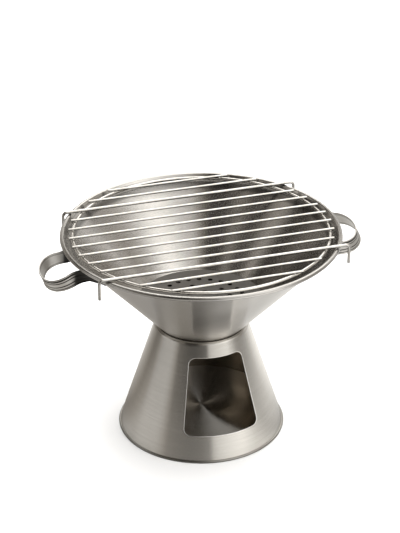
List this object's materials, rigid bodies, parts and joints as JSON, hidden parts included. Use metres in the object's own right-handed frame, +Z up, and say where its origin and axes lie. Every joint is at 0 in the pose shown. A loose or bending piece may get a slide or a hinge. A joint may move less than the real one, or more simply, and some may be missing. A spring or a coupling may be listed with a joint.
{
  "type": "portable tabletop grill",
  "caption": "Round stainless tabletop charcoal grill: a waisted stand with a draught door, a conical fire bowl with loop handles and a lift-off wire grate.",
  "frame": {"origin": "centre of the foot on the table", "axes": "+Z up, +X along the handles and the grate's bars, -Y towards the draught door"},
  "size_m": [0.4068, 0.34, 0.2699],
  "materials": {
    "stand_steel": "circumferential brushing",
    "floor_steel": "circular brushing",
    "bowl_steel": "circumferential brushing",
    "plate_steel": "dull rolled sheet",
    "handle_steel": "ribbed strip, satin",
    "grate_wire": "bright plated wire"
  },
  "bodies": {
    "stand": {"stand_cone": "stand_steel", "ash_floor": "floor_steel"},
    "bowl": {"bowl": "bowl_steel", "handle_left": "handle_steel", "handle_right": "handle_steel"},
    "charcoal_plate": {"charcoal_plate": "plate_steel"},
    "grate": {"grate_bar_01": "grate_wire", "grate_bar_02": "grate_wire", "grate_bar_04": "grate_wire", "grate_bar_05": "grate_wire", "grate_bar_06": "grate_wire", "grate_bar_07": "grate_wire", "grate_bar_08": "grate_wire", "grate_bar_09": "grate_wire", "grate_bar_10": "grate_wire", "grate_bar_12": "grate_wire", "grate_bar_13": "grate_wire", "grate_hooked_bar_03": "grate_wire", "grate_hooked_bar_11": "grate_wire", "grate_ring": "grate_wire"}
  },
  "joints": [
    {"name": "bowl_lift", "type": "slide", "parent": "stand", "child": "bowl", "axis": [0, 0, 1], "range_m": [0, 0.11]},
    {"name": "charcoal_plate_lift", "type": "slide", "parent": "bowl", "child": "charcoal_plate", "axis": [0, 0, 1], "range_m": [0, 0.085]},
    {"name": "grate_lift", "type": "slide", "parent": "bowl", "child": "grate", "axis": [0, 0, 1], "range_m": [0, 0.11]}
  ]
}
